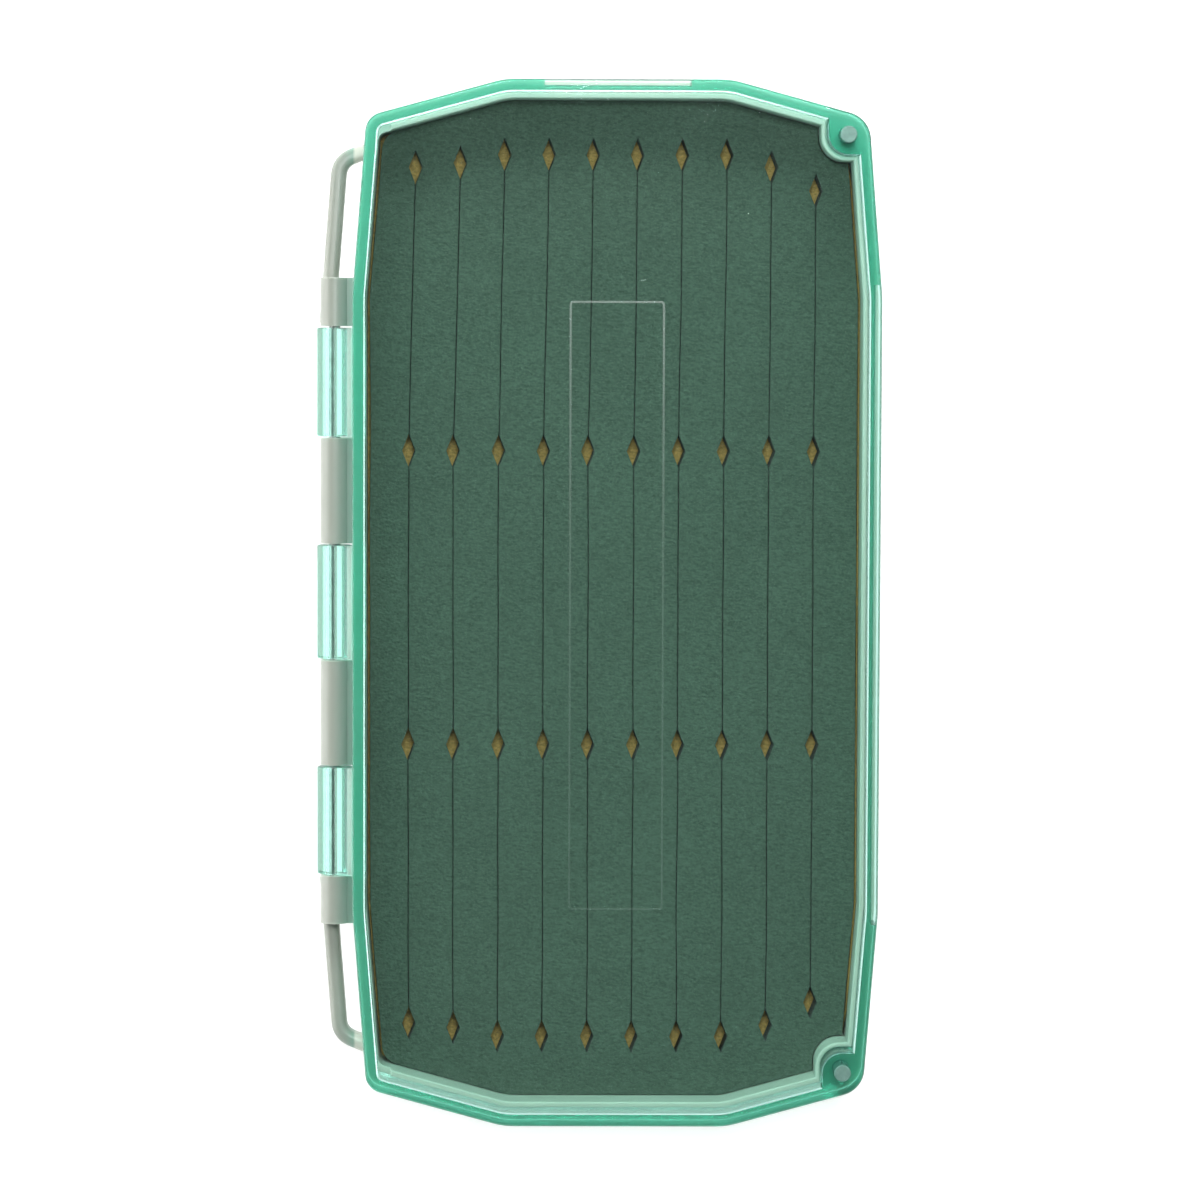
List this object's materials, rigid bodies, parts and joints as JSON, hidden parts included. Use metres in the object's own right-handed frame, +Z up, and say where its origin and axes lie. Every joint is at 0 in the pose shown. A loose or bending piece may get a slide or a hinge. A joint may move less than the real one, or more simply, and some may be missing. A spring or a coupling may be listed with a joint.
{
  "type": "fly box",
  "caption": "Slim hinged fly box with a clear tinted lid, a foam-lined tray, lanyard loops and magnetic closure.",
  "frame": {"origin": "middle of the tray's flat underside, under the centre of the lid's outline", "axes": "+Z up through the closed lid, +X towards the opening side, -X towards the hinge, Y along the hinge pin"},
  "size_m": [0.1009, 0.187, 0.025],
  "materials": {
    "tray": "satin",
    "lid": "clear gloss",
    "pin_steel": "ground",
    "backing_foam": "matte closed-cell foam",
    "slit_foam": "matte closed-cell foam",
    "magnet": "nickel plated"
  },
  "bodies": {
    "tray_body": {"tray": "tray", "hinge_pin": "pin_steel", "backing_foam": "backing_foam", "slit_foam": "slit_foam", "right_tray_magnet": "magnet", "left_tray_magnet": "magnet"},
    "lid_body": {"lid": "lid", "right_lid_magnet": "magnet", "left_lid_magnet": "magnet"}
  },
  "joints": [
    {"name": "lid_hinge", "type": "hinge", "parent": "tray_body", "child": "lid_body", "pos_m": [-0.0507, 0, 0.0125], "axis": [0, -1, 0], "range_deg": [0, 180]}
  ]
}
